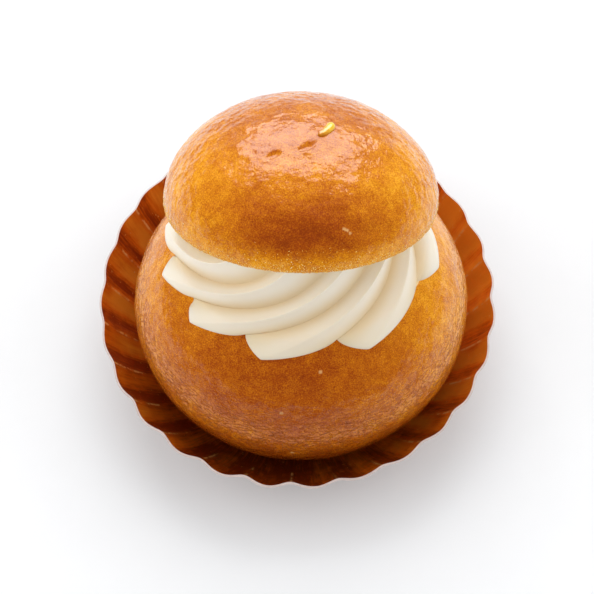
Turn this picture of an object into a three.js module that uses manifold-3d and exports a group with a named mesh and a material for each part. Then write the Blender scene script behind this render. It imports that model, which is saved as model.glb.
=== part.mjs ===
// A rum baba in its fluted case: a round soaked bun, sliced on a slant and filled with a
// piped rosette of cream, with its own top set back on at an angle, open to the front.
// Units are millimetres. +Z is up, the front is -Y, and the origin is the middle of the
// case's underside.

import * as THREE from "three";
import { mergeVertices } from "three/addons/utils/BufferGeometryUtils.js";
import Module from "manifold-3d";

const wasm = await Module();
wasm.setup();

const { degToRad, euclideanModulo, lerp } = THREE.MathUtils;

// Fluted case: a flat floor and a flared wall pressed into rounded flutes
const CASE_RIM_RADIUS = 44.4;
const CASE_RIM_HEIGHT = 17.2;
const CASE_FLOOR_RADIUS = 30.5;
const CASE_WALL_KNEE = new THREE.Vector2(38.5, 6);
const CASE_SHEET = 0.5;
const CASE_DEPTH_STRETCH = 1.052;
const WALL_RINGS = 4;
const FLUTES = 28;
const FLUTE_DEPTH = 0.8;
const FLUTE_LIFT = 0.5;
const FLUTE_SOFTNESS = 0.35;
const FLUTE_UNEVENNESS = 0.2;
const FLUTE_DRIFT = degToRad(2.5);
const FLUTE_DRIFT_ANGLE = degToRad(-15);
const FLUTE_STEPS = 6;

// Bun: an ellipsoid with a flat foot, set a little forward of the case's middle
const BUN_RADIUS = 37;
const BUN_HALF_HEIGHT = 26.8;
const BUN_EQUATOR_HEIGHT = 21;
const BUN_OFFSET = new THREE.Vector3(0.9, -3.1, 0);
const BUN_SWELL = 0.35;
const BUN_SWELL_START = 0.7;
const BUN_RINGS = 18;
const BUN_SEGMENTS = 72;

// Slice through the bun, falling towards the back
const SLICE_HEIGHT = 39.4;
const SLICE_TILT = degToRad(7.1);

// Top of the bun: a dome on a flat cut face, tipped back so that its front edge is raised
const CAP_RADIUS = 29.2;
const CAP_RISE = 20.6;
const CAP_SKIRT = 1.7;
const CAP_PEAK = 1.07;
const CAP_CENTRE = new THREE.Vector3(-0.1, 10.35, 48.6);
const CAP_TILT = degToRad(27);
const CAP_EDGE_ROUND = 0.7;
const CAP_SWELL = 0.3;
const CAP_SWELL_START = 2.1;
const CAP_RINGS = 14;
const CAP_SEGMENTS = 72;

// Sliver of candied zest on the dome, in the dome's own frame
const ZEST_LENGTH = 6.2;
const ZEST_RADIUS = 0.65;
const ZEST_SPOT = new THREE.Vector2(5, -6.9);
const ZEST_TURN = degToRad(57);

// Cream: a piped rosette on the slice, wide at the foot and narrower under the dome
const CREAM_CENTRE = new THREE.Vector2(-0.4, 4.4);
const CREAM_FOOT_RADIUS = 28.5;
const CREAM_NECK_RADIUS = 20;
const CREAM_REAR_TRIM = 4.5;
const CREAM_FLARE = 5;
const CREAM_TWIST = degToRad(105);
const CREAM_TWIST_RISE = 9;
const TWIST_UNEVENNESS = 0.25;
const TWIST_ANGLE = degToRad(-20);
const CREAM_DROOP = 0.9;
const CREAM_FOOT_DROP = 5;
const CREAM_RISE = 24;
const CREAM_RINGS = 16;
const CREAM_LOBES = 9;
const LOBE_STEPS = 12;
const LOBE_DEPTH = 4;
const LOBE_UPPER_DEPTH = 2.4;
const LOBE_LIFT = 2;
const LOBE_SKEW = 0.25;
const LOBE_FOOT_POWER = 0.58;
const LOBE_CREST_POWER = 1.5;
const LOBE_CROWDING = 0.36;
const LOBE_CROWD_ANGLE = degToRad(24);
const LOBE_START = degToRad(-15);

// Waves of a hand-shaped piece's swelling: share of it, number round the piece, lean with height
const SWELL_WAVES = [
  { share: 0.5, count: 2, lean: 0 },
  { share: 0.3, count: 3, lean: -0.11 },
  { share: 0.2, count: 5, lean: 0.17 },
];

// Room left between neighbouring pieces
const CLEARANCE = 0.3;
const CASE_CLEARANCE = 0.1;
const CUTTER_SIZE = 200;

const finish = (color, roughness, metalness) =>
  new THREE.MeshStandardMaterial({ color, roughness, metalness });

const finishes = {
  case: finish(0x8a4312, 0.35, 0.6),
  crust: finish(0xc97a1c, 0.3, 0),
  cream: finish(0xf3ecdc, 0.5, 0),
};

// Shape helpers

// A surface of revolution about +Z from (radius, height) points, with one point on the
// axis at each end.
function turned(profile, segments) {
  return welded(new THREE.LatheGeometry(profile, segments).rotateX(Math.PI / 2));
}

// The same surface with shared vertices and without the triangles that have no area.
function welded(geometry) {
  geometry.deleteAttribute("normal");
  geometry.deleteAttribute("uv");
  const merged = mergeVertices(geometry, 1e-4);
  const corners = [];
  for (let i = 0; i < merged.index.count; i += 3) {
    const [a, b, c] = [0, 1, 2].map((k) => merged.index.getX(i + k));
    if (a !== b && b !== c && c !== a) corners.push(a, b, c);
  }
  merged.setIndex(corners);
  return merged;
}

// Moves every vertex by a function of its cylindrical place (radius, angle, height).
function reshape(geometry, move) {
  const places = geometry.getAttribute("position");
  for (let i = 0; i < places.count; i++) {
    const [x, y, z] = [places.getX(i), places.getY(i), places.getZ(i)];
    const [radius, angle, height] = move(Math.hypot(x, y), Math.atan2(y, x), z);
    places.setXYZ(i, radius * Math.cos(angle), radius * Math.sin(angle), height);
  }
  return geometry;
}

// Swells a turned piece unevenly, by up to a given distance at its widest radius.
function swollen(geometry, distance, widest, start) {
  return reshape(geometry, (radius, angle, height) => {
    const swell = SWELL_WAVES.reduce((sum, { share, count, lean }, i) => {
      return sum + share * Math.sin(count * angle + lean * height + (i + 1) * start);
    }, 0);
    return [radius * (1 + (distance / widest) * swell), angle, height];
  });
}

function toSolid(geometry) {
  return new wasm.Manifold(
    new wasm.Mesh({
      numProp: 3,
      vertProperties: new Float32Array(geometry.getAttribute("position").array),
      triVerts: new Uint32Array(geometry.index.array),
    }),
  );
}

function toGeometry(solid) {
  const mesh = solid.getMesh();
  const geometry = new THREE.BufferGeometry();
  geometry.setAttribute("position", new THREE.BufferAttribute(mesh.vertProperties, 3));
  geometry.setIndex(new THREE.BufferAttribute(mesh.triVerts, 1));
  return geometry;
}

// The main body of a solid, without the scraps that a cut leaves beside it.
function largestBody(solid) {
  return solid.decompose().reduce((most, body) => (body.volume() > most.volume() ? body : most));
}

// A large block that fills everything above a plane which passes through a point and
// falls towards +Y by the tilt.
function blockAbove(point, tilt) {
  const block = new THREE.BoxGeometry(CUTTER_SIZE, CUTTER_SIZE, CUTTER_SIZE);
  block.translate(0, 0, CUTTER_SIZE / 2);
  block.rotateX(-tilt).translate(point.x, point.y, point.z);
  return toSolid(welded(block));
}

// Case

// How far a flute bulges at an angle: from -0.5 at its soft fold inwards to 0.5 at its round
// outside, and more on some sides of the case than on others.
function bulge(angle) {
  const wave = Math.hypot(Math.sin((FLUTES * angle) / 2), FLUTE_SOFTNESS) - FLUTE_SOFTNESS;
  const uneven = 1 + FLUTE_UNEVENNESS * (Math.sin(3 * angle + 1) + 0.5 * Math.sin(7 * angle));
  return uneven * (wave / (Math.hypot(1, FLUTE_SOFTNESS) - FLUTE_SOFTNESS) - 0.5);
}

function makeCase() {
  const slope = new THREE.QuadraticBezierCurve(
    new THREE.Vector2(CASE_FLOOR_RADIUS, 0),
    CASE_WALL_KNEE,
    new THREE.Vector2(CASE_RIM_RADIUS, CASE_RIM_HEIGHT),
  );
  const outside = slope.getPoints(WALL_RINGS);
  const inside = outside.map((point, i) => {
    const along = slope.getTangent(i / WALL_RINGS);
    return new THREE.Vector2(point.x - CASE_SHEET * along.y, point.y + CASE_SHEET * along.x);
  });
  inside[0].set(CASE_FLOOR_RADIUS - CASE_SHEET / 2, CASE_SHEET);
  const profile = [
    new THREE.Vector2(0, 0),
    ...outside,
    ...inside.reverse(),
    new THREE.Vector2(0, CASE_SHEET),
  ];
  // The folds stand a little higher than the bulges, and drift round towards the left.
  const geometry = turned(profile, FLUTES * FLUTE_STEPS);
  reshape(geometry, (radius, angle, height) => {
    const up = Math.max(0, height - CASE_SHEET) / (CASE_RIM_HEIGHT - CASE_SHEET);
    const wave = up * bulge(angle);
    const drift = FLUTE_DRIFT * (Math.cos(angle - FLUTE_DRIFT_ANGLE) - 1);
    return [radius + FLUTE_DEPTH * wave, angle + drift, height - FLUTE_LIFT * wave];
  });
  return geometry.scale(1, CASE_DEPTH_STRETCH, 1);
}

// Bun, in its own frame: axis on Z, case's underside at 0

// The whole bun, grown outwards by a margin.
function wholeBun(margin) {
  const foot = CASE_SHEET + CASE_CLEARANCE - margin;
  const radius = BUN_RADIUS + margin;
  const half = BUN_HALF_HEIGHT + margin;
  const lowest = Math.asin((foot - BUN_EQUATOR_HEIGHT) / half);
  const profile = [new THREE.Vector2(0, foot)];
  for (let i = 0; i <= BUN_RINGS; i++) {
    const latitude = lerp(lowest, Math.PI / 2, i / BUN_RINGS);
    const height = BUN_EQUATOR_HEIGHT + half * Math.sin(latitude);
    profile.push(new THREE.Vector2(radius * Math.cos(latitude), height));
  }
  profile.at(-1).setX(0);
  return swollen(turned(profile, BUN_SEGMENTS), BUN_SWELL, BUN_RADIUS, BUN_SWELL_START);
}

function slicedBun(margin) {
  const cut = new THREE.Vector3(0, 0, SLICE_HEIGHT + margin);
  return toSolid(wholeBun(margin)).subtract(blockAbove(cut, SLICE_TILT));
}

// Top of the bun, on its own axis with the widest ring at 0

// The dome's outline from its widest ring, at 0, to its peak, at a quarter turn: an ellipse
// drawn in a little between the two.
function domePoint(latitude) {
  const across = Math.pow(Math.max(0, Math.cos(latitude)), CAP_PEAK);
  const up = Math.pow(Math.sin(latitude), CAP_PEAK);
  return new THREE.Vector2(CAP_RADIUS * across, CAP_RISE * up);
}

function domeHeight(radius) {
  return domePoint(Math.acos(Math.pow(radius / CAP_RADIUS, 1 / CAP_PEAK))).y;
}

function makeCap() {
  const profile = [
    new THREE.Vector2(0, -CAP_SKIRT),
    new THREE.Vector2(CAP_RADIUS - CAP_EDGE_ROUND, -CAP_SKIRT),
    new THREE.Vector2(CAP_RADIUS, CAP_EDGE_ROUND - CAP_SKIRT),
  ];
  for (let i = 0; i <= CAP_RINGS; i++) {
    profile.push(domePoint(((Math.PI / 2) * i) / CAP_RINGS));
  }
  profile.at(-1).setX(0);
  const dome = swollen(turned(profile, CAP_SEGMENTS), CAP_SWELL, CAP_RADIUS, CAP_SWELL_START);
  return toGeometry(toSolid(dome).add(makeZest()));
}

// A short rounded sliver, lying along the dome and half sunk into it.
function makeZest() {
  const sliver = new THREE.CapsuleGeometry(ZEST_RADIUS, ZEST_LENGTH - 2 * ZEST_RADIUS, 3, 8);
  const seat = new THREE.Vector3(ZEST_SPOT.x, ZEST_SPOT.y, domeHeight(ZEST_SPOT.length()));
  const halfAxes = new THREE.Vector3(CAP_RADIUS, CAP_RADIUS, CAP_RISE);
  const outward = seat.clone().divide(halfAxes).divide(halfAxes).normalize();
  const along = new THREE.Vector3(Math.cos(ZEST_TURN), Math.sin(ZEST_TURN), 0);
  along.projectOnPlane(outward).normalize();
  const across = along.clone().cross(outward);
  sliver.applyMatrix4(new THREE.Matrix4().makeBasis(across, along, outward).setPosition(seat));
  return toSolid(welded(sliver));
}

// Cream, on its own axis square to the slice, with the slice at 0

// How far a lobe stands out over its share of the way round, from -0.5 to 0.5: a steep face,
// then a long slope, full at the foot, and drawn in to a sharp crest higher up.
function lobe(share, flare) {
  const rise = share < LOBE_SKEW ? share / LOBE_SKEW : (1 - share) / (1 - LOBE_SKEW);
  return Math.pow(rise, lerp(LOBE_CREST_POWER, LOBE_FOOT_POWER, flare)) - 0.5;
}

// Mean radius of the rosette, from its spread foot in to its neck.
function rosetteRadius(angle, flare) {
  const foot = CREAM_FOOT_RADIUS - CREAM_REAR_TRIM * Math.max(0, Math.sin(angle)) ** 2;
  return lerp(CREAM_NECK_RADIUS, foot, flare);
}

// How far the ridges have leaned round at a height: most of it near the foot, and less on the
// left of the rosette than on the right.
function twist(angle, height) {
  const slack = 1 - TWIST_UNEVENNESS * (0.5 - 0.5 * Math.cos(angle - TWIST_ANGLE));
  return CREAM_TWIST * slack * (1 - Math.exp(-height / CREAM_TWIST_RISE));
}

// The columns follow the lobes: they crowd together on the left, and lean round with height
// as the piped ridges do. Above the foot the ridges are shallower, and stand up as well as out.
function wholeRosette() {
  const profile = [new THREE.Vector2(0, -CREAM_FOOT_DROP)];
  for (let i = 0; i <= CREAM_RINGS; i++) {
    const height = lerp(-CREAM_FOOT_DROP, CREAM_RISE, i / CREAM_RINGS);
    profile.push(new THREE.Vector2(CREAM_NECK_RADIUS, height));
  }
  profile.push(new THREE.Vector2(0, CREAM_RISE));
  return reshape(turned(profile, CREAM_LOBES * LOBE_STEPS), (radius, angle, height) => {
    if (radius < CREAM_NECK_RADIUS / 2) return [radius, angle, height];
    const above = Math.max(0, height);
    const flare = Math.exp(-above / CREAM_FLARE);
    const stand = lobe(euclideanModulo((CREAM_LOBES * angle) / (2 * Math.PI), 1), flare);
    const depth = lerp(LOBE_UPPER_DEPTH, LOBE_DEPTH, flare * flare);
    const crowded = angle + LOBE_CROWDING * Math.sin(angle - LOBE_CROWD_ANGLE) + LOBE_START;
    const leaning = crowded + twist(angle, above);
    const lift = LOBE_LIFT * (1 - flare) * stand;
    return [rosetteRadius(leaning, flare) + depth * stand, leaning, height + lift];
  });
}

// Lowers the cream by a share of the way that the crust falls below the slice, so that its
// lobes lie down over the shoulder of the bun.
function drooped(geometry) {
  return reshape(geometry, (radius, angle, height) => {
    const across = Math.min(1, radius / BUN_RADIUS);
    const crust = BUN_EQUATOR_HEIGHT + BUN_HALF_HEIGHT * Math.sqrt(1 - across * across);
    const slice = SLICE_HEIGHT - radius * Math.sin(angle) * Math.tan(SLICE_TILT);
    return [radius, angle, height - CREAM_DROOP * Math.max(0, slice - crust)];
  });
}

function makeCream() {
  const seat = SLICE_HEIGHT - CREAM_CENTRE.y * Math.tan(SLICE_TILT);
  const rosette = wholeRosette().rotateX(-SLICE_TILT);
  drooped(rosette.translate(CREAM_CENTRE.x, CREAM_CENTRE.y, seat));
  const drop = (CAP_SKIRT + CLEARANCE) / Math.cos(CAP_TILT);
  const underDome = CAP_CENTRE.clone().setZ(CAP_CENTRE.z - drop);
  const filling = toSolid(rosette)
    .subtract(blockAbove(underDome, CAP_TILT))
    .subtract(slicedBun(CLEARANCE));
  return toGeometry(largestBody(filling));
}

// The whole baba

function piece(name, geometry, material) {
  const mesh = new THREE.Mesh(geometry, material);
  mesh.name = name;
  return mesh;
}

const top = piece("bun_top", makeCap(), finishes.crust);
top.position.copy(CAP_CENTRE);
top.rotation.x = -CAP_TILT;

const bun = new THREE.Group();
bun.position.copy(BUN_OFFSET);
bun.add(piece("bun_base", toGeometry(slicedBun(0)), finishes.crust));
bun.add(piece("cream", makeCream(), finishes.cream));
bun.add(top);

const baba = new THREE.Group();
baba.add(piece("fluted_case", makeCase(), finishes.case));
baba.add(bun);

export default baba;
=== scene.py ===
# %% [markdown]
# # A rum baba in its fluted case
# A rum baba is a small yeast bun, baked until amber, soaked in syrup and brushed with glaze.
# This one is sliced on a slant, filled with a piped rosette of cream, and stands in a foil case.
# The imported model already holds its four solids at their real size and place. The lesson dresses
# them: each piece is made again with a fine surface, by the same rule, and then given its finish.

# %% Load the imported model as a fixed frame
import math

import bpy
import numpy as np
from mathutils import Matrix, Vector


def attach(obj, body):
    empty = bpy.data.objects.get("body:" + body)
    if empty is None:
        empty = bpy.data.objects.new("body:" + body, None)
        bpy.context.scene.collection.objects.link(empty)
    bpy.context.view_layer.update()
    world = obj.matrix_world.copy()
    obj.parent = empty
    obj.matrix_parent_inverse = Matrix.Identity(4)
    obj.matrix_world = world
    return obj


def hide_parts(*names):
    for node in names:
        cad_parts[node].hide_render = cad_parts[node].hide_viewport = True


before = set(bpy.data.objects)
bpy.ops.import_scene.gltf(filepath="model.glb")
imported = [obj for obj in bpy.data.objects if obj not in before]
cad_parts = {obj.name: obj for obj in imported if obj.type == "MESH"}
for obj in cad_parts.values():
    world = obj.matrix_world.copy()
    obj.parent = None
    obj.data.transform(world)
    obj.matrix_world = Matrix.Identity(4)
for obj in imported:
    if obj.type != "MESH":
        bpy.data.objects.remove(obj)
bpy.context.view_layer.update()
scene = bpy.context.scene
MM = 0.001

# %% [markdown]
# ## Camera
# The picture looks down on the front of the baba from about sixty degrees, through a long lens
# that keeps the case's ellipse almost undistorted. The focal length is worked out from the
# picture's width and from how many pixels wide a thing is when it is as wide as it is far away.

# %% Place the camera
PICTURE_WIDTH = 594
FOCAL_PIXELS = 1923
SENSOR_WIDTH = 36
CAMERA_DISTANCE = 420 * MM
CAMERA_ELEVATION = math.radians(60)
CAMERA_TARGET = Vector((-0.1, -7.2, 30)) * MM


def add_object(name, data):
    """Puts new data into the scene as an object at the origin."""
    made = bpy.data.objects.new(name, data)
    scene.collection.objects.link(made)
    return made


def aim(made, place, target):
    """Stands an object at a place and points its own -Z at a target."""
    made.location = place
    made.rotation_euler = (place - target).to_track_quat("Z", "Y").to_euler()


lens = bpy.data.cameras.new("camera")
lens.sensor_width = SENSOR_WIDTH
lens.lens = SENSOR_WIDTH * FOCAL_PIXELS / PICTURE_WIDTH
lens.clip_start = CAMERA_DISTANCE / 50
camera = add_object("camera", lens)
towards_camera = Vector((0, -math.cos(CAMERA_ELEVATION), math.sin(CAMERA_ELEVATION)))
aim(camera, CAMERA_TARGET + towards_camera * CAMERA_DISTANCE, CAMERA_TARGET)
scene.camera = camera
print("camera with a", round(lens.lens, 1), "mm lens at", [round(x, 3) for x in camera.location])

# %% [markdown]
# ## Recipes
# Shapes and finishes are both node trees. Written node by node they are hard to read, so this
# cell makes a small notebook for them: a Field is the output of one node, and adding or
# multiplying two Fields adds the Math node that does it. A formula in the script then looks like
# the formula on paper. A recipe for a shape also keeps its named sizes.


# %% Write node trees as formulas
class Field:
    """A value that can differ from point to point: the output of one node."""

    def __init__(self, recipe, socket):
        self.recipe = recipe
        self.socket = socket

    def __add__(self, other):
        return self.recipe.math("ADD", self, other)

    def __sub__(self, other):
        return self.recipe.math("SUBTRACT", self, other)

    def __rsub__(self, other):
        return self.recipe.math("SUBTRACT", other, self)

    def __mul__(self, other):
        return self.recipe.math("MULTIPLY", self, other)

    def __truediv__(self, other):
        return self.recipe.math("DIVIDE", self, other)

    def __pow__(self, other):
        return self.recipe.math("POWER", self, other)

    __radd__ = __add__
    __rmul__ = __mul__


class Recipe:
    """A node tree that is written step by step, for a shape or for a finish."""

    def __init__(self, tree):
        self.tree = tree

    def node(self, kind, inputs=None, **settings):
        """Adds one node, with its settings and with its inputs by name or number."""
        made = self.tree.nodes.new(kind)
        for setting, value in settings.items():
            setattr(made, setting, value)
        for key, value in (inputs or {}).items():
            self.feed(made.inputs[key], value)
        return made

    def feed(self, socket, value):
        if isinstance(value, Field):
            self.tree.links.new(value.socket, socket)
        else:
            socket.default_value = value

    def field(self, kind, inputs=None, output=0, **settings):
        """Adds one node and gives one of its outputs."""
        return Field(self, self.node(kind, inputs, **settings).outputs[output])

    def math(self, operation, *values):
        return self.field("ShaderNodeMath", dict(enumerate(values)), operation=operation)

    def sin(self, value):
        return self.math("SINE", value)

    def cos(self, value):
        return self.math("COSINE", value)

    def between(self, value, low, high):
        """0 at low and 1 at high, with a straight slope between."""
        return self.field("ShaderNodeMapRange", {"Value": value, "From Min": low, "From Max": high})

    def smooth(self, value, low, high):
        """0 at low and 1 at high, with an eased slope between."""
        inputs = {"Value": value, "From Min": low, "From Max": high}
        return self.field("ShaderNodeMapRange", inputs, interpolation_type="SMOOTHSTEP")

    def lerp(self, share, first, last):
        return first + share * (last - first)

    def vector(self, x, y, z):
        return self.field("ShaderNodeCombineXYZ", {0: x, 1: y, 2: z})

    def parts(self, vector):
        split = self.node("ShaderNodeSeparateXYZ", {0: vector})
        return [Field(self, output) for output in split.outputs]

    def scaled(self, vector, factors):
        return self.field("ShaderNodeVectorMath", {0: vector, 1: factors}, operation="MULTIPLY")

    def noise(self, place, grain, detail=0.0, roughness=0.5):
        """Soft noise from 0 to 1, with lumps about one grain across."""
        inputs = {"Vector": place, "Scale": 1 / grain, "Detail": detail, "Roughness": roughness}
        return self.field("ShaderNodeTexNoise", inputs)

    def swing(self, place, grain, **settings):
        """The same noise, from -0.5 to 0.5."""
        return self.noise(place, grain, **settings) - 0.5


class Shape(Recipe):
    """A Geometry Nodes tree with named sizes."""

    def __init__(self, name, starts_from_mesh=False):
        super().__init__(bpy.data.node_groups.new(name, "GeometryNodeTree"))
        self.sizes = {}
        if starts_from_mesh:
            self.tree.interface.new_socket("Mesh", in_out="INPUT", socket_type="NodeSocketGeometry")
        self.tree.interface.new_socket("Mesh", in_out="OUTPUT", socket_type="NodeSocketGeometry")
        self.entry = self.tree.nodes.new("NodeGroupInput")

    def size(self, label, value):
        """Adds a named input and remembers what the modifier has to set it to."""
        kinds = {int: "Int", float: "Float", bpy.types.Object: "Object", bpy.types.Material: "Material"}
        kind = "NodeSocket" + kinds[type(value)]
        socket = self.tree.interface.new_socket(label, in_out="INPUT", socket_type=kind)
        self.sizes[socket.identifier] = value
        return Field(self, self.entry.outputs[label])

    def start(self):
        return Field(self, self.entry.outputs["Mesh"])

    def position(self):
        return self.field("GeometryNodeInputPosition")

    def attribute(self, name):
        return self.field("GeometryNodeInputNamedAttribute", {"Name": name})

    def marked(self, mesh, name, value):
        """Stores a value at each point, under a name that a finish can read."""
        inputs = {"Geometry": mesh, "Name": name, "Value": value}
        return self.field("GeometryNodeStoreNamedAttribute", inputs)

    def place(self, mesh, position):
        return self.field("GeometryNodeSetPosition", {"Geometry": mesh, "Position": position})

    def push(self, mesh, distance):
        """Moves each point along its normal."""
        normal = self.field("GeometryNodeInputNormal")
        offset = self.field("ShaderNodeVectorMath", {0: normal, "Scale": distance}, operation="SCALE")
        return self.field("GeometryNodeSetPosition", {"Geometry": mesh, "Offset": offset})

    def weld(self, mesh, distance):
        return self.field("GeometryNodeMergeByDistance", {"Geometry": mesh, "Distance": distance})

    def moved(self, mesh, place=(0, 0, 0), turn=(0, 0, 0)):
        inputs = {"Geometry": mesh, "Translation": place, "Rotation": turn}
        return self.field("GeometryNodeTransform", inputs)

    def finished(self, mesh, material, where=True):
        inputs = {"Geometry": mesh, "Selection": where, "Material": material}
        return self.field("GeometryNodeSetMaterial", inputs)

    def realized(self, mesh):
        return self.field("GeometryNodeRealizeInstances", {0: mesh})

    def serve(self, mesh):
        """Ends the tree with this mesh."""
        ending = self.tree.nodes.new("NodeGroupOutput")
        self.tree.links.new(mesh.socket, ending.inputs[0])
        return self


def make(name, shape, mesh=None):
    """Runs a shape's tree on an object and keeps the result as a plain mesh."""
    piece = add_object(name, mesh or bpy.data.meshes.new(name))
    modifier = piece.modifiers.new(name, "NODES")
    modifier.node_group = shape.tree
    for identifier, value in shape.sizes.items():
        modifier[identifier] = value
    evaluated = piece.evaluated_get(bpy.context.evaluated_depsgraph_get())
    kept = bpy.data.meshes.new_from_object(evaluated)
    piece.modifiers.remove(modifier)
    piece.data = kept
    return piece


SHARP_EDGE = math.radians(55)


def smooth_and_tell(piece):
    """Smooths a piece's shading except at its sharp edges, and prints how large it is."""
    mesh = piece.data
    mesh.shade_smooth()
    mesh.set_sharp_from_angle(angle=SHARP_EDGE)
    corners = np.array([v.co for v in mesh.vertices])
    triangles = sum(len(face.vertices) - 2 for face in mesh.polygons)
    size = (corners.max(0) - corners.min(0)) / MM
    print(piece.name, "has", triangles, "triangles and measures", size.round(1), "mm")


print("recipes are ready")

# %% [markdown]
# ## Finishes
# A finish is a Principled shader whose colour and relief come from noise on the piece's own
# coordinates, so it sits still on the piece from any side. The helper below starts one, and
# sets every value that is the same all over straight on the shader.


# %% Start a finish
class Finish(Recipe):
    """A material with one Principled shader."""

    def __init__(self, name, **constants):
        self.material = bpy.data.materials.new(name)
        self.material.use_nodes = True
        super().__init__(self.material.node_tree)
        self.shader = self.tree.nodes["Principled BSDF"]
        for label, value in constants.items():
            self.shader.inputs[label.replace("_", " ")].default_value = value

    def place(self):
        return self.field("ShaderNodeTexCoord", output="Object")

    def attribute(self, name, output="Fac"):
        return self.field("ShaderNodeAttribute", output=output, attribute_name=name)

    def ramp(self, value, colours, marks=None):
        """Colours along a value from 0 to 1, evenly spread where no marks are given."""
        made = self.node("ShaderNodeValToRGB", {"Fac": value})
        stops = made.color_ramp.elements
        while len(stops) < len(colours):
            stops.new(1)
        for stop, mark, colour in zip(stops, marks or np.linspace(0, 1, len(colours)), colours):
            stop.position = mark
            stop.color = (*colour, 1)
        return Field(self, made.outputs["Color"])

    def blend(self, share, first, last):
        """One colour over another by a share."""
        made = self.node("ShaderNodeMix", data_type="RGBA")
        pairs = (("Factor_Float", share), ("A_Color", first), ("B_Color", last))
        for identifier, value in pairs:
            socket = next(s for s in made.inputs if s.identifier == identifier)
            self.feed(socket, (*value, 1) if isinstance(value, tuple) else value)
        return Field(self, next(s for s in made.outputs if s.identifier == "Result_Color"))

    def bump(self, height, distance, under=None):
        inputs = {"Height": height, "Distance": distance, "Strength": 1.0}
        if under:
            inputs["Normal"] = under
        return self.field("ShaderNodeBump", inputs)

    def wear(self, **linked):
        """Links the fields that change over the surface, and gives the material."""
        for label, value in linked.items():
            self.feed(self.shader.inputs[label.replace("_", " ")], value)
        return self.material


print("finishes can be started")

# %% [markdown]
# ## Floor and light
# The baba stands on a plain pale floor in an evenly bright room. A glaze mirrors all of that room,
# and a pale room laid over amber turns it grey. Photographers keep most of the room dark to the
# glaze, and give it one bright thing to mirror. The same is done here: the room and three soft
# lights, from behind and from both sides, are there for matte surfaces, and a shine panel is there
# for the glaze and the foil. The floor glows very faintly, which keeps its shadow a soft grey.

# %% Lay the floor
FLOOR_HALF = 2.5
FLOOR_TONES = ((0.69, 0.70, 0.715), (0.71, 0.72, 0.735))
FLOOR_GRAIN = 9 * MM
FLOOR_GLOW = {"Emission_Color": (1, 1, 1, 1), "Emission_Strength": 0.17}


def floor_finish():
    finish = Finish("pale floor", Roughness=0.7, Specular_IOR_Level=0.1, **FLOOR_GLOW)
    grain = finish.noise(finish.place(), FLOOR_GRAIN, detail=4)
    return finish.wear(Base_Color=finish.ramp(grain, FLOOR_TONES))


corners = [(-1, -1, 0), (1, -1, 0), (1, 1, 0), (-1, 1, 0)]
floor_mesh = bpy.data.meshes.new("floor")
floor_mesh.from_pydata([Vector(corner) * FLOOR_HALF for corner in corners], [], [(0, 1, 2, 3)])
floor_mesh.materials.append(floor_finish())
floor = add_object("floor", floor_mesh)
print("floor", 2 * FLOOR_HALF, "m across")

# %% Set the lights
ROOM_GLOW = 0.65
PANEL_TARGET = Vector((0, 5, 50)) * MM
PANEL_DISTANCE = 0.6
SOFT_SIZE = (0.6, 0.5)
SHINE_SIZE = (0.72, 0.5)
PANELS = (
    {"name": "back light", "turn": 92, "height": 48, "size": SOFT_SIZE, "glow": 2.1, "matte": True},
    {"name": "right light", "turn": 4, "height": 35, "size": SOFT_SIZE, "glow": 1.3, "matte": True},
    {"name": "left light", "turn": 186, "height": 33, "size": SOFT_SIZE, "glow": 1.5, "matte": True},
    {"name": "shine panel", "turn": 88, "height": 40, "size": SHINE_SIZE, "glow": 6.8, "matte": False},
)


def add_panel(name, turn, height, size, glow, matte):
    """A rectangular light for matte or for glossy surfaces, placed by two angles in degrees."""
    light = bpy.data.lights.new(name, "AREA")
    light.shape = "RECTANGLE"
    light.size, light.size_y = size
    light.energy = glow * math.pi * size[0] * size[1]
    panel = add_object(name, light)
    panel.visible_camera = False
    panel.visible_diffuse = matte
    panel.visible_glossy = not matte
    turn, height = math.radians(turn), math.radians(height)
    flat = math.cos(height)
    towards = Vector((flat * math.cos(turn), flat * math.sin(turn), math.sin(height)))
    aim(panel, PANEL_TARGET + towards * PANEL_DISTANCE, PANEL_TARGET)


def light_room():
    """An even white surround that only matte surfaces and the camera see."""
    room = bpy.data.worlds.new("room")
    room.use_nodes = True
    background = room.node_tree.nodes["Background"]
    background.inputs["Color"].default_value = (1, 1, 1, 1)
    background.inputs["Strength"].default_value = ROOM_GLOW
    room.cycles_visibility.glossy = False
    scene.world = room


for panel in PANELS:
    add_panel(**panel)
light_room()
scene.view_settings.view_transform = "Standard"
print(len(PANELS), "panels at", PANEL_DISTANCE, "m, in a room that glows at", ROOM_GLOW)
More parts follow.
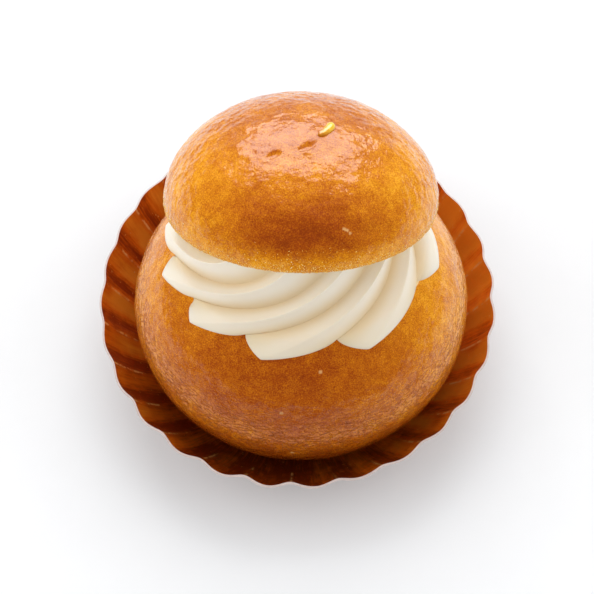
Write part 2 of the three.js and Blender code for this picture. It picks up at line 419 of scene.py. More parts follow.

# %% [markdown]
# ## The foil case
# The case is a disc of foil-faced paper pressed into a shallow fluted dish. Every flute repeats
# the last one, round outwards and softly folded inwards, which is a rule and not a sculpture. So
# a flat grid is bent into the dish by a formula in Geometry Nodes: across the grid runs the angle,
# and along it runs the way from the middle of the floor up to the rim. The sheet then gets its
# thickness by an extrusion, whose rim faces are the pale cut edge of the paper. One half of each
# flute is painted lighter and the other darker, the right side brighter and the front darker: this
# is painted light and shade. The tree notes the painted light, and where the folds run, as values
# on the mesh, and the finish reads them.

# %% Mix the foil and its cut edge
CASE_RIM_RADIUS = 44.4 * MM
FOIL_TONES = ((0.28, 0.032, 0.001), (0.82, 0.175, 0.005), (1.0, 0.34, 0.025))
BACK_TONES = ((0.20, 0.05, 0.010), (0.27, 0.075, 0.015), (0.36, 0.12, 0.03))
FOIL_PATCH = 11 * MM
FOIL_PATCH_SHARE = 0.9
FOIL_STREAK = 0.6 * MM
FOIL_STREAK_SHARE = 0.9
FOIL_STREAK_DEPTH = 0.05 * MM
FOIL_STREAK_RISE = 0.12
FOIL_CRINKLE = 2.5 * MM
FOIL_CRINKLE_SHARE = 0.5
FOIL_CRINKLE_DEPTH = 0.12 * MM
FOIL_DUST = 0.6 * MM
FOIL_DUST_LEVELS = (0.78, 0.86)
FOIL_DUST_SHARE = 0.6
# The pale tone of the fold dashes, which are partly wear and partly painted glints.
WORN_AND_GLINT_TONE = (1.0, 0.55, 0.18)
WORN_GLINT_PATCH = 3.5 * MM
WORN_GLINT_PATCH_LEVELS = (0.45, 0.57)
WORN_GLINT_FOLD_LEVELS = (0.86, 1)
PAPER_TONES = ((0.50, 0.39, 0.35), (0.72, 0.62, 0.58))
PAPER_FIBRE = 1.2 * MM


def foil_streaks(finish, place):
    """Fine lines that run up the wall: noise that hardly changes with height."""
    x, y, z = finish.parts(place)
    outward = finish.field("ShaderNodeVectorMath", {0: finish.vector(x, y, 0)}, operation="NORMALIZE")
    around_x, around_y, _ = finish.parts(finish.scaled(outward, (CASE_RIM_RADIUS,) * 3))
    streaked = finish.vector(around_x, around_y, z * FOIL_STREAK_RISE)
    return finish.swing(streaked, FOIL_STREAK, detail=3, roughness=0.6)


def foil_wear_and_glints(finish, place):
    """Pale dashes along the folds, partly wear and partly painted glints, and specks of dust."""
    patches = finish.noise(place, WORN_GLINT_PATCH, detail=4, roughness=0.7)
    folds = finish.smooth(finish.attribute("fold"), *WORN_GLINT_FOLD_LEVELS)
    dashes = folds * finish.smooth(patches, *WORN_GLINT_PATCH_LEVELS)
    dust = finish.smooth(finish.noise(place, FOIL_DUST), *FOIL_DUST_LEVELS)
    return finish.math("MAXIMUM", dashes, FOIL_DUST_SHARE * dust)


def foil_finish(name, tones, wear_and_glint, **constants):
    """Copper-brown foil with painted light on one half of each flute, and pale fold dashes of wear and
    painted glint by a share.
    """
    finish = Finish(name, **constants)
    place = finish.place()
    streaks = foil_streaks(finish, place)
    crinkles = finish.swing(place, FOIL_CRINKLE, detail=3)
    patches = finish.swing(place, FOIL_PATCH, detail=1)
    # The painted light of the flutes and of the sides sets the foil's tone.
    tone = 0.5 + finish.attribute("lit") * (0.5 + patches) + FOIL_PATCH_SHARE * patches
    tone = tone + FOIL_STREAK_SHARE * streaks + FOIL_CRINKLE_SHARE * crinkles
    colour = finish.ramp(tone, tones)
    # Pale fold dashes: partly wear, partly painted glints on the folds; the specks are dust.
    colour = finish.blend(wear_and_glint * foil_wear_and_glints(finish, place), colour, WORN_AND_GLINT_TONE)
    relief = finish.bump(crinkles, FOIL_CRINKLE_DEPTH)
    relief = finish.bump(streaks, FOIL_STREAK_DEPTH, relief)
    return finish.wear(Base_Color=colour, Normal=relief)


def paper_finish():
    finish = Finish("cut paper edge", Roughness=0.6)
    fibres = finish.noise(finish.place(), PAPER_FIBRE, detail=3)
    return finish.wear(Base_Color=finish.ramp(fibres, PAPER_TONES))


copper_foil = foil_finish("copper foil", FOIL_TONES, 1.0, Metallic=0.35, Roughness=0.3)
foil_back = foil_finish("foil back", BACK_TONES, 0.15, Metallic=0.3, Roughness=0.5)
cut_paper = paper_finish()
print("mixed", copper_foil.name, "and", foil_back.name, "and", cut_paper.name)

# %% Bend a grid into the fluted case
CASE_RIM_HEIGHT = 17.2 * MM
CASE_FLOOR_RADIUS = 30.5 * MM
CASE_KNEE_RADIUS = 38.5 * MM
CASE_KNEE_HEIGHT = 6.0 * MM
CASE_SHEET = 0.5 * MM
CASE_DEPTH_STRETCH = 1.052
FLUTES = 28
FLUTE_COLUMNS = 18
FLUTE_DEPTH = 0.8 * MM
FLUTE_LIFT = 0.5 * MM
FLUTE_SOFTNESS = 0.35
FLUTE_UNEVENNESS = 0.2
FLUTE_UNEVEN_WAVES = ((1, 3, 1), (0.5, 7, 0))
FLUTE_DRIFT = math.radians(2.5)
FLUTE_DRIFT_ANGLE = math.radians(-15)
CASE_RINGS = 44
CASE_FLOOR_SHARE = 0.2
CRINKLE_DEPTH = 0.25 * MM
CRINKLE_GRAIN = 6 * MM
FOLD_START = (0.1, 0.4)
# Painted light and shade on the foil: one half of each flute lighter, the right side brighter, the
# front darker.
LIT_START = (0, 0.3)
FRONT_SHADE = 1.0
FRONT_SHADE_ANGLE = math.radians(-82)
RIGHT_SHINE = 1.05
WELD = 0.002 * MM


def bezier(share, first, middle, last):
    """A quadratic curve from first to last that is pulled towards middle."""
    rest = 1 - share
    return rest * rest * first + 2 * share * rest * middle + share * share * last


def case_shape(foil, back, paper):
    shape = Shape("fluted case")
    flutes = shape.size("Flutes", FLUTES)
    columns = shape.size("Columns", FLUTES * FLUTE_COLUMNS + 1)
    rings = shape.size("Rings", CASE_RINGS + 1)
    floor_radius = shape.size("Floor Radius", CASE_FLOOR_RADIUS)
    knee_radius = shape.size("Knee Radius", CASE_KNEE_RADIUS)
    knee_height = shape.size("Knee Height", CASE_KNEE_HEIGHT)
    rim_radius = shape.size("Rim Radius", CASE_RIM_RADIUS)
    rim_height = shape.size("Rim Height", CASE_RIM_HEIGHT)
    sheet = shape.size("Sheet", CASE_SHEET)
    depth = shape.size("Flute Depth", FLUTE_DEPTH)
    lift = shape.size("Flute Lift", FLUTE_LIFT)
    softness = shape.size("Flute Softness", FLUTE_SOFTNESS)
    stretch = shape.size("Depth Stretch", CASE_DEPTH_STRETCH)
    crinkle = shape.size("Crinkle Depth", CRINKLE_DEPTH)
    foil = shape.size("Foil", foil)
    back = shape.size("Back", back)
    paper = shape.size("Paper", paper)

    grid = {"Size X": 1, "Size Y": 1, "Vertices X": columns, "Vertices Y": rings}
    flat = shape.field("GeometryNodeMeshGrid", grid)
    x, y, z = shape.parts(shape.position())
    angle = (x + 0.5) * math.tau
    on_floor = shape.between(y + 0.5, 0, CASE_FLOOR_SHARE)
    on_wall = shape.between(y + 0.5, CASE_FLOOR_SHARE, 1)
    radius = bezier(on_wall, floor_radius, knee_radius, rim_radius) - floor_radius * (1 - on_floor)
    height = bezier(on_wall, 0, knee_height, rim_height)

    across = shape.sin(flutes * angle * 0.5)
    wave = shape.math("SQRT", across * across + softness * softness) - softness
    highest = shape.math("SQRT", softness * softness + 1) - softness
    waves = sum(size * shape.sin(count * angle + start) for size, count, start in FLUTE_UNEVEN_WAVES)
    uneven = 1 + FLUTE_UNEVENNESS * waves
    up = shape.math("MAXIMUM", 0, height - sheet) / (rim_height - sheet)
    bulge = up * uneven * (wave / highest - 0.5)
    drifted = angle + FLUTE_DRIFT * (shape.cos(angle - FLUTE_DRIFT_ANGLE) - 1)
    radius = radius + depth * bulge
    height = height - lift * bulge
    bent = shape.vector(radius * shape.cos(drifted), radius * shape.sin(drifted) * stretch, height)
    fold = shape.smooth(up, *FOLD_START) * (1 - shape.math("ABSOLUTE", across))
    # Painted shade at the front, painted light on the right and on one half of each flute.
    front = shape.math("MAXIMUM", 0, shape.cos(angle - FRONT_SHADE_ANGLE))
    right = shape.math("MAXIMUM", 0, shape.cos(angle))
    lit = shape.smooth(up, *LIT_START) * shape.sin(flutes * angle) * shape.cos(angle) * -1
    lit = lit + RIGHT_SHINE * right - FRONT_SHADE * front
    flat = shape.marked(shape.marked(flat, "fold", fold), "lit", lit)
    dish = shape.weld(shape.place(flat, bent), WELD)
    lumps = shape.swing(shape.position(), CRINKLE_GRAIN, detail=2)
    dish = shape.push(dish, crinkle * lumps * (z / rim_height))

    inside = shape.field("GeometryNodeFlipFaces", {"Mesh": dish})
    thicken = {"Mesh": inside, "Offset Scale": sheet, "Individual": False}
    thick = shape.node("GeometryNodeExtrudeMesh", thicken)
    lining = Field(shape, thick.outputs["Top"])
    rim = Field(shape, thick.outputs["Side"])
    joined = shape.node("GeometryNodeJoinGeometry")
    shape.tree.links.new(thick.outputs["Mesh"], joined.inputs[0])
    shape.tree.links.new(dish.socket, joined.inputs[0])
    closed = shape.weld(Field(shape, joined.outputs[0]), WELD)
    lined = shape.finished(shape.finished(shape.realized(closed), back), foil, lining)
    return shape.serve(shape.finished(lined, paper, rim))


foil_case = make("foil_case", case_shape(copper_foil, foil_back, cut_paper))
smooth_and_tell(foil_case)

# %% [markdown]
# ## The bun's two halves
# Both halves of the bun are round forms with a flat cut: the base is a squat ball cut on a slant
# near its top, and the lid is the dome that came off it. A modifier could carve them, but rings of
# points give full control: each ring is worked out by the bun's own rule, and the rings lie
# close together where the surface shows. A skin joins the rings, with a point closing each end.

# %% Stretch a skin over rings of points
BUN_OFFSET = np.array([0.9, -3.1, 0]) * MM
SWELL_WAVES = ((0.5, 2, 0), (0.3, 3, -0.11), (0.2, 5, 0.17))
COLUMNS = 420
angles = np.arange(COLUMNS) * math.tau / COLUMNS


def swelling(angle, height, start):
    """How unevenly a hand-shaped piece swells, from about -1 to 1: a few slow waves."""
    total = 0
    for order, (share, count, lean) in enumerate(SWELL_WAVES, 1):
        total = total + share * np.sin(count * angle + lean * height / MM + order * start)
    return total


def ring(radius, height):
    """One ring of points from radii and heights round the axis."""
    return np.stack([radius * np.cos(angles), radius * np.sin(angles), height + 0 * angles], axis=-1)


def rounded_corner(before, corner, after, steps):
    """Rings that turn a sharp corner into a soft one."""
    shares = np.linspace(0, 1, steps + 2)[1:-1]
    return [bezier(share, before, corner, after) for share in shares]


def skin(name, rings, low_pole, high_pole):
    """A closed mesh over rings from the lowest to the highest, with a point at each end."""
    rings = np.array(rings)
    index = 1 + np.arange(rings.shape[0] * rings.shape[1]).reshape(rings.shape[:2])
    ahead = np.roll(index, -1, axis=1)
    quads = np.stack([index[:-1], ahead[:-1], ahead[1:], index[1:]], axis=-1).reshape(-1, 4)
    last = index.size + 1
    low_fan = [(0, b, a) for a, b in zip(index[0], ahead[0])]
    high_fan = [(a, b, last) for a, b in zip(index[-1], ahead[-1])]
    points = np.concatenate([[low_pole], rings.reshape(-1, 3), [high_pole]])
    mesh = bpy.data.meshes.new(name)
    mesh.from_pydata(points.tolist(), [], low_fan + quads.tolist() + high_fan)
    return mesh


def paint(mesh, name, values, low=0, high=0):
    """Keeps one number for each point of the rings, and for the two end points."""
    layer = mesh.attributes.new(name, "FLOAT", "POINT")
    layer.data.foreach_set("value", np.concatenate([[low], values.ravel(), [high]]).astype(np.float32))


def note_places(mesh, name, rings):
    """Keeps the place that each point of the rings has in its own frame, with both ends on the axis."""
    ends = [rings[0].mean(axis=0), rings[-1].mean(axis=0)]
    layer = mesh.attributes.new(name, "FLOAT_VECTOR", "POINT")
    places = np.concatenate([ends[:1], rings.reshape(-1, 3), ends[1:]])
    layer.data.foreach_set("vector", places.astype(np.float32).ravel())


def ease(value, low, high):
    """0 below low and 1 above high, with an eased slope between."""
    share = np.clip((value - low) / (high - low), 0, 1)
    return share * share * (3 - 2 * share)


print("skins have", COLUMNS, "columns")

# %% [markdown]
# ## Crust, crumb and glaze
# Syrup makes the crust deep amber. It is browner on the crown and low on the base, and darker in
# front, partly as browning and partly as painted shade; the base is also painted a little darker on
# the left than on the right, as painted shade. It is golden near the cuts, with a fine golden grain
# all over. The glaze on top is a clear coat: it mirrors the panel on the dome, and the floor at a
# glancing angle, which gives the pinkish sheen at the sides. As it dried it drew fine creases round
# the base, so their noise is stretched sideways, and it wrinkled on the sides and the back of the
# lid. The creases and small pores are painted darker, as painted shade. Values painted on each half
# say how brown and how shaded, creased or wrinkled it is at each point, so both halves share one
# finish. The cut faces show pale, porous crumb, painted darker in its pores as painted shade.

# %% Mix the crust and the crumb
CRUST_TONES = (
    (0.90, 0.40, 0.020),
    (0.75, 0.27, 0.004),
    (0.56, 0.15, 0.002),
    (0.37, 0.065, 0.0005),
    (0.26, 0.037, 0.0003),
)
CRUST_MARKS = (0, 0.20, 0.45, 0.75, 1)
CRUST_CLOUD = 6 * MM
CRUST_CLOUD_SHARE = 0.6
CRUST_MOTTLE = 1.6 * MM
CRUST_MOTTLE_SHARE = 0.5
CRUST_GRAIN = 0.27 * MM
CRUST_GRAIN_SHARE = 1.0
CRUST_GRAIN_DEPTH = 0.03 * MM
PORE_TONE = (0.20, 0.03, 0.001)
PORE_GRAIN = 0.9 * MM
PORE_LEVELS = (0.68, 0.76)
PORE_SHADE = 0.5
FLECK_TONE = (0.97, 0.66, 0.28)
FLECK_LEVELS = (0.3, 1)
FLECK_SHARE = 0.6
GLAZE_COAT = {"Coat_Weight": 1.0, "Coat_Roughness": 0.06, "Coat_IOR": 1.34}
GLAZE_CREASE = 0.85 * MM
GLAZE_CREASE_WIDTH = 0.06
GLAZE_CREASE_DEPTH = 0.12 * MM
GLAZE_CREASE_SHADE = 0.65
GLAZE_CREASE_TONE = (0.36, 0.08, 0.001)
GLAZE_WRINKLE = 1.5 * MM
GLAZE_WRINKLE_DEPTH = 0.25 * MM
GLAZE_WAVE = 4.5 * MM
GLAZE_WAVE_DEPTH = 0.8 * MM
CRUMB_TONES = ((0.62, 0.33, 0.07), (0.86, 0.60, 0.22), (0.93, 0.74, 0.38))
CRUMB_CELL = 1.5 * MM
CRUMB_CELL_REACH = 0.6
CRUMB_GRAIN = 0.5 * MM
CRUMB_GRAIN_SHARE = 0.6
CRUMB_GRAIN_DEPTH = 0.2 * MM


def crust_finish():
    finish = Finish("glazed crust", Roughness=0.5, Specular_IOR_Level=0.1, **GLAZE_COAT)
    place = finish.place()
    along = finish.attribute("grain_place", "Vector")
    creased = finish.attribute("creased")
    clouds = finish.swing(place, CRUST_CLOUD, detail=3, roughness=0.6)
    mottle = finish.swing(place, CRUST_MOTTLE, detail=3, roughness=0.65)
    grain = finish.swing(place, CRUST_GRAIN, detail=1, roughness=0.6)
    # The browning value is partly painted shade, in front and on the left.
    tone = finish.attribute("browning") + CRUST_CLOUD_SHARE * clouds
    tone = tone + CRUST_MOTTLE_SHARE * mottle + CRUST_GRAIN_SHARE * grain
    pores = creased * finish.smooth(finish.noise(along, PORE_GRAIN), *PORE_LEVELS)
    flecks = finish.smooth(finish.attribute("fleck"), *FLECK_LEVELS)
    lines = finish.math("ABSOLUTE", finish.swing(along, GLAZE_CREASE, detail=1))
    creases = creased * finish.smooth(lines, GLAZE_CREASE_WIDTH, 0)
    wrinkles = finish.attribute("wrinkled") * finish.noise(place, GLAZE_WRINKLE, detail=1)
    colour = finish.ramp(tone, CRUST_TONES, CRUST_MARKS)
    # The creases and pores are painted darker: painted shade.
    colour = finish.blend(GLAZE_CREASE_SHADE * creases, colour, GLAZE_CREASE_TONE)
    colour = finish.blend(PORE_SHADE * pores, colour, PORE_TONE)
    colour = finish.blend(FLECK_SHARE * flecks, colour, FLECK_TONE)
    waves = finish.noise(place, GLAZE_WAVE, detail=3, roughness=0.5)
    relief = finish.bump(waves, GLAZE_WAVE_DEPTH)
    relief = finish.bump(grain, CRUST_GRAIN_DEPTH, relief)
    relief = finish.bump(wrinkles, GLAZE_WRINKLE_DEPTH, relief)
    relief = finish.bump(-1 * creases, GLAZE_CREASE_DEPTH, relief)
    return finish.wear(Base_Color=colour, Normal=relief, Coat_Normal=relief)


def crumb_finish():
    finish = Finish("soaked crumb", Roughness=0.75)
    place = finish.place()
    cells = finish.field("ShaderNodeTexVoronoi", {"Vector": place, "Scale": 1 / CRUMB_CELL})
    grain = finish.swing(place, CRUMB_GRAIN, detail=3)
    # Darker towards the middle of each pore, where the relief sinks deepest: painted shade.
    tone = finish.between(cells, 0, CRUMB_CELL_REACH) + CRUMB_GRAIN_SHARE * grain
    relief = finish.bump(grain, CRUMB_GRAIN_DEPTH)
    return finish.wear(Base_Color=finish.ramp(tone, CRUMB_TONES), Normal=relief)


crust = crust_finish()
crumb = crumb_finish()
print("mixed", crust.name, "and", crumb.name)

# %% [markdown]
# ## Relief of the crust and the crumb
# A baked skin is never smooth: it has shallow dents and ripples, and wrinkles where the glaze
# dried on the lid. The crumb of a cut is full of pores of different sizes, and the edge between
# crust and cut is ragged. All of these follow the surface, so one Geometry Nodes tree pushes each
# point along its normal by noise.

# %% Write the relief as a tree
DENT = 13 * MM
DENT_DEPTH = 0.35 * MM
RIPPLE = 2.6 * MM
RIPPLE_DEPTH = 0.07 * MM
RIPPLE_STRETCH = (0.7, 0.7, 1)
WRINKLE_DEPTH = 0.3 * MM
PORE_DEPTH = 0.7 * MM
PORE_REACH = (0.2, 0.5)
RAG = 0.9 * MM
RAG_DEPTH = 0.5 * MM
RAG_REACH = 1.3 * MM


def relief_shape():
    shape = Shape("bun relief", starts_from_mesh=True)
    dents = shape.size("Dent Depth", DENT_DEPTH)
    ripples = shape.size("Ripple Depth", RIPPLE_DEPTH)
    pores = shape.size("Pore Depth", PORE_DEPTH)
    rags = shape.size("Edge Raggedness", RAG_DEPTH)
    wrinkles = shape.size("Wrinkle Depth", WRINKLE_DEPTH)
    place = shape.position()
    on_cut = shape.attribute("on_cut")
    near_edge = shape.attribute("near_edge")
    wrinkle = shape.attribute("wrinkled") * shape.swing(place, GLAZE_WRINKLE, detail=1)
    dent = shape.swing(place, DENT, detail=1)
    ripple = shape.swing(shape.scaled(place, RIPPLE_STRETCH), RIPPLE, detail=2)
    rag = shape.swing(place, RAG, detail=1)
    cells = shape.node("ShaderNodeTexVoronoi", {"Vector": place, "Scale": 1 / CRUMB_CELL})
    reach = shape.lerp(shape.parts(Field(shape, cells.outputs["Color"]))[0], *PORE_REACH)
    pore = shape.between(Field(shape, cells.outputs["Distance"]) / reach, 1, 0)
    on_crust = dents * dent + ripples * ripple + wrinkles * wrinkle
    push = shape.lerp(on_cut, on_crust, -1 * pores * pore) + near_edge * rags * rag
    return shape.serve(shape.realized(shape.push(shape.start(), push)))


bun_relief = relief_shape()
print("relief tree has", len(bun_relief.tree.nodes), "nodes")


# %% Dress a half of the bun
def dress_half(name, mesh, rings, cut_rings, edge_ring, ragged, **painted):
    """Paints a half of the bun, gives it its relief and keeps it as a piece."""
    on_cut = np.zeros(rings.shape[:2])
    on_cut[cut_rings] = 1
    away = np.linalg.norm(rings - rings[edge_ring], axis=-1)
    near_edge = ragged * np.exp(-((away / RAG_REACH) ** 2))
    first, last = on_cut[0, 0], on_cut[-1, 0]
    paint(mesh, "on_cut", on_cut, first, last)
    paint(mesh, "near_edge", near_edge)
    for label, values in painted.items():
        paint(mesh, label, values, values[0].mean(), values[-1].mean())
    mesh.materials.append(crust)
    mesh.materials.append(crumb)
    half = make(name, bun_relief, mesh)
    cut_point = np.zeros(len(half.data.vertices), np.float32)
    half.data.attributes["on_cut"].data.foreach_get("value", cut_point)
    faces = half.data.polygons
    faces.foreach_set("material_index", [int(cut_point[list(f.vertices)].min()) for f in faces])
    smooth_and_tell(half)
    return half


print("halves can be dressed in", crust.name, "and", crumb.name)

# %% [markdown]
# ## The base of the bun
# The base is a squat ball with a flat foot, cut on a slant so that its cut falls towards the back.
# Each column of points climbs the ball up to the slant, which a few halvings find, and then
# crosses the cut to the axis. Numbers painted on its points then say how brown and how darkened
# by painted shade, creased and flecked the base is.

# %% Shape the base
BUN_RADIUS = 37 * MM
BUN_HALF_HEIGHT = 26.8 * MM
BUN_EQUATOR_HEIGHT = 21 * MM
BUN_FOOT = 0.6 * MM
BUN_SWELL = 0.35 * MM
BUN_SWELL_START = 0.7
SLICE_HEIGHT = 39.4 * MM
SLICE_TILT = math.radians(7.1)
HIGHEST_LATITUDE = math.radians(80)
HALVINGS = 40
BASE_RINGS = 150
BASE_SOLE_SHARES = (0.35, 0.7)
BASE_CUT_SHARES = np.concatenate([np.linspace(0.008, 0.3, 30), np.linspace(0.35, 0.92, 8)])
CORNER_STEPS = 3
FRONT = -math.pi / 2


def ball_ring(latitude):
    height = BUN_EQUATOR_HEIGHT + BUN_HALF_HEIGHT * np.sin(latitude)
    swell = 1 + BUN_SWELL / BUN_RADIUS * swelling(angles, height, BUN_SWELL_START)
    return ring(BUN_RADIUS * np.cos(latitude) * swell, height)


def above_slice(points):
    """How far points stand above the slanting cut."""
    return points[:, 2] + points[:, 1] * math.tan(SLICE_TILT) - SLICE_HEIGHT


def slice_latitudes():
    """The latitude at which each column meets the cut, by halving."""
    low = np.zeros(COLUMNS)
    high = np.full(COLUMNS, HIGHEST_LATITUDE)
    for _ in range(HALVINGS):
        middle = (low + high) / 2
        over = above_slice(ball_ring(middle)) > 0
        low, high = np.where(over, low, middle), np.where(over, middle, high)
    return low


def facing_front(angle, width):
    """1 at the front, falling to 0 a width away from it."""
    apart = np.abs((angle - FRONT + math.pi) % math.tau - math.pi)
    return 1 - ease(apart, 0, width)


def near_spots(points, spots, reach):
    """1 at each of a few spots, falling to 0 round it."""
    away = [np.linalg.norm(points / MM - spot, axis=-1) for spot in spots]
    return np.exp(-((np.min(away, axis=0) * MM / reach) ** 2))


def base_rings():
    """Rings of the base from foot to cut, and which of them is the first on the cut."""
    top = slice_latitudes()
    foot = math.asin((BUN_FOOT - BUN_EQUATOR_HEIGHT) / BUN_HALF_HEIGHT)
    sole = [ball_ring(foot) * (share, share, 1) for share in BASE_SOLE_SHARES]
    wall = [ball_ring(foot + (top - foot) * share) for share in np.linspace(0, 1, BASE_RINGS)]
    middle = np.array([0, 0, SLICE_HEIGHT])
    cut = [wall[-1] + (middle - wall[-1]) * share for share in BASE_CUT_SHARES]
    corner = rounded_corner(wall[-2], wall[-1], cut[0], CORNER_STEPS)
    rings = sole + wall[:-1] + corner + cut
    return np.array(rings), len(rings) - len(cut)


base_points, first_cut = base_rings()
base_poles = [BUN_OFFSET + (0, 0, pole) for pole in (BUN_FOOT, SLICE_HEIGHT)]
base_mesh = skin("bun_lower", base_points + BUN_OFFSET, *base_poles)
print("base has", len(base_points), "rings, the cut starts at ring", first_cut)

# %% Paint and dress the base
BASE_AMBER = 0.22
# The front term is partly painted shade; the left term is painted shade.
BASE_FRONT_SHADE_AND_BROWNING = 0.5
BASE_FRONT_WIDTH = math.radians(100)
BASE_FRONT_HEIGHTS = (12 * MM, 36 * MM)
BASE_FOOT_BROWNING = 0.42
BASE_FOOT_HEIGHTS = (16 * MM, 27 * MM)
BASE_LEFT_PAINTED_SHADE = 0.07
BASE_CREASE_HEIGHTS = (26 * MM, 36 * MM)
BASE_CREASE_STRETCH = 2.4
BASE_RAGGEDNESS = 0.2
BASE_FLECKS = ((3.9, -27.3, 38.9), (-4.3, -33.5, 31.9), (-2.0, -36.9, 20.0))
BASE_FLECK_REACH = 0.55 * MM


def base_browning_and_shade(height):
    """Browner in front, partly as painted shade, and at the foot, and a little darker on the left than
    on the right as painted shade.
    """
    front = facing_front(angles, BASE_FRONT_WIDTH) * ease(height, *BASE_FRONT_HEIGHTS)
    foot = 1 - ease(height, *BASE_FOOT_HEIGHTS)
    browning = BASE_AMBER + BASE_FRONT_SHADE_AND_BROWNING * front + BASE_FOOT_BROWNING * foot
    return browning - BASE_LEFT_PAINTED_SHADE * np.cos(angles)


note_places(base_mesh, "grain_place", base_points / (BASE_CREASE_STRETCH, BASE_CREASE_STRETCH, 1))
bun_lower = dress_half(
    "bun_lower",
    base_mesh,
    base_points,
    cut_rings=slice(first_cut, None),
    edge_ring=first_cut,
    ragged=BASE_RAGGEDNESS,
    browning=base_browning_and_shade(base_points[:, :, 2]),
    creased=1 - ease(base_points[:, :, 2], *BASE_CREASE_HEIGHTS),
    fleck=near_spots(base_points, BASE_FLECKS, BASE_FLECK_REACH),
)

# %% [markdown]
# ## The lid
# The dome that was cut off sits back on the cream, tipped so that it opens to the front. It is
# made upright on its own axis, cut face down, and tipped at the end. Two small pits in the glaze
# are pressed in before that. It is painted like the base, with wrinkles in place of creases, and
# with a number that says how crumbly it is near its cut.

# %% Shape the lid
CAP_RADIUS = 29.2 * MM
CAP_RISE = 20.6 * MM
CAP_SKIRT = 1.7 * MM
CAP_PEAK = 1.07
CAP_SWELL = 0.3 * MM
CAP_SWELL_START = 2.1
CAP_TILT = math.radians(27)
CAP_EDGE_ROUND = 0.7 * MM
CAP_RINGS = 120
CAP_LAST_RING = 0.995
CAP_SKIRT_RINGS = 5
CAP_CUT_SHARES = np.concatenate([np.linspace(0.08, 0.6, 8), np.linspace(0.64, 1, 32)])
CAP_PLACE = Matrix.Translation(Vector(BUN_OFFSET) + Vector((-0.1, 10.35, 48.6)) * MM)
CAP_FRAME = CAP_PLACE @ Matrix.Rotation(-CAP_TILT, 4, "X")
GLAZE_PITS = (
    {"spot": (1.0, -12.0), "half": (1.9, 0.85), "turn": 25, "depth": 0.6},
    {"spot": (-5.6, -13.6), "half": (1.3, 0.65), "turn": 20, "depth": 0.45},
)


def cap_ring(radius, height):
    swell = 1 + CAP_SWELL / CAP_RADIUS * swelling(angles, height, CAP_SWELL_START)
    return ring(radius * swell, height)


def dome_ring(latitude):
    radius = CAP_RADIUS * math.cos(latitude) ** CAP_PEAK
    return cap_ring(radius, CAP_RISE * math.sin(latitude) ** CAP_PEAK)


def press_pits(points):
    """Presses the pits of the glaze into the dome."""
    for pit in GLAZE_PITS:
        turn = math.radians(pit["turn"])
        aside = points[..., :2] / MM - pit["spot"]
        along = aside[..., 0] * math.cos(turn) + aside[..., 1] * math.sin(turn)
        across = aside[..., 1] * math.cos(turn) - aside[..., 0] * math.sin(turn)
        far = np.hypot(along / pit["half"][0], across / pit["half"][1])
        over = points[..., 2] > 0
        points[..., 2] -= over * pit["depth"] * MM * np.exp(-(far**4))
    return points


def cap_rings():
    """Rings of the lid from the middle of its cut up to its peak, and how many lie on the cut."""
    inner = CAP_RADIUS - CAP_EDGE_ROUND
    cut = [cap_ring(inner * share, -CAP_SKIRT) for share in CAP_CUT_SHARES]
    edge = CAP_EDGE_ROUND - CAP_SKIRT
    skirt = [cap_ring(CAP_RADIUS, height) for height in np.linspace(edge, 0, CAP_SKIRT_RINGS)]
    corner = rounded_corner(cut[-1], cap_ring(CAP_RADIUS, -CAP_SKIRT), skirt[0], CORNER_STEPS)
    latitudes = math.pi / 2 * np.linspace(0, CAP_LAST_RING, CAP_RINGS)[1:]
    rings = cut + corner + skirt + [dome_ring(latitude) for latitude in latitudes]
    return press_pits(np.array(rings)), len(cut)


def placed(points, frame_matrix):
    """Points turned and moved into a frame."""
    turn = np.array(frame_matrix.to_3x3())
    return points @ turn.T + np.array(frame_matrix.translation)


cap_points, cut_count = cap_rings()
cap_poles = [placed(np.array([0, 0, pole]), CAP_FRAME) for pole in (-CAP_SKIRT, CAP_RISE)]
cap_mesh = skin("bun_lid", placed(cap_points, CAP_FRAME), *cap_poles)
print("lid has", len(cap_points), "rings,", cut_count, "of them on its cut")

# %% Paint and dress the lid
CAP_AMBER = 0.20
CAP_CROWN_BROWNING = 0.22
CAP_CROWN_HEIGHTS = (12 * MM, 18 * MM)
# The front band is partly browning and partly painted shade.
CAP_FRONT_SHADE_AND_BROWNING = 0.58
CAP_FRONT_WIDTH = math.radians(65)
CAP_BAND_START = (-1 * MM, 5 * MM)
CAP_BAND_END = (8 * MM, 16.5 * MM)
SHINE_SPOT = np.array([1, -12]) * MM
SHINE_HALF = np.array([13, 9.5]) * MM
WRINKLE_START = (1.3, 2.0)
SMOOTH_FRONT_WIDTH = math.radians(80)
CRUMBLY_REACH = 1.1 * MM
CAP_RAGGEDNESS = 1.0
CAP_FLECKS = ((8.5, -25.7, 7.0), (8.9, -25.7, 6.8), (9.3, -25.7, 6.6), (9.8, -25.8, 6.0))
CAP_FLECK_REACH = 0.42 * MM


def cap_browning_and_shade(height):
    """Browner on the crown, and in a band across the front that is partly painted shade."""
    band = ease(height, *CAP_BAND_START) * (1 - ease(height, *CAP_BAND_END))
    front = facing_front(angles, CAP_FRONT_WIDTH) * band
    crown = ease(height, *CAP_CROWN_HEIGHTS)
    return CAP_AMBER + CAP_CROWN_BROWNING * crown + CAP_FRONT_SHADE_AND_BROWNING * front


def cap_wrinkles(points):
    """Wrinkled at the sides and the back, smooth in front and where the shine lies."""
    from_shine = np.linalg.norm((points[:, :, :2] - SHINE_SPOT) / SHINE_HALF, axis=-1)
    return ease(from_shine, *WRINKLE_START) * (1 - facing_front(angles, SMOOTH_FRONT_WIDTH))


